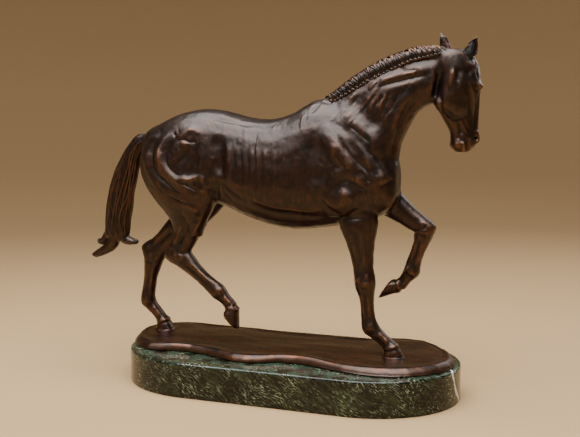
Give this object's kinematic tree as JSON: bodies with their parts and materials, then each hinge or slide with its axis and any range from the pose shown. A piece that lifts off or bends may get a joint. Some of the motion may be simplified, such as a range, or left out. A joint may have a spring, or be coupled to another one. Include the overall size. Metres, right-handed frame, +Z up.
{
  "type": "bronze horse sculpture",
  "caption": "Walking horse cast in dark patinated bronze with its own ground plate, on a polished green marble plinth with rounded ends.",
  "frame": {"origin": "centre of the marble plinth's underside", "axes": "+X towards the horse's head along the plinth, +Y to the horse's left, +Z up"},
  "size_m": [0.4863, 0.194, 0.4041],
  "materials": {
    "bronze": "dark brown patinated bronze, waxed, rubbed warmer on the raised forms",
    "marble": "polished dark green marble with light green and white veins"
  },
  "bodies": {
    "root": {"bronze_horse": "bronze", "marble_plinth": "marble"}
  },
  "joints": []
}
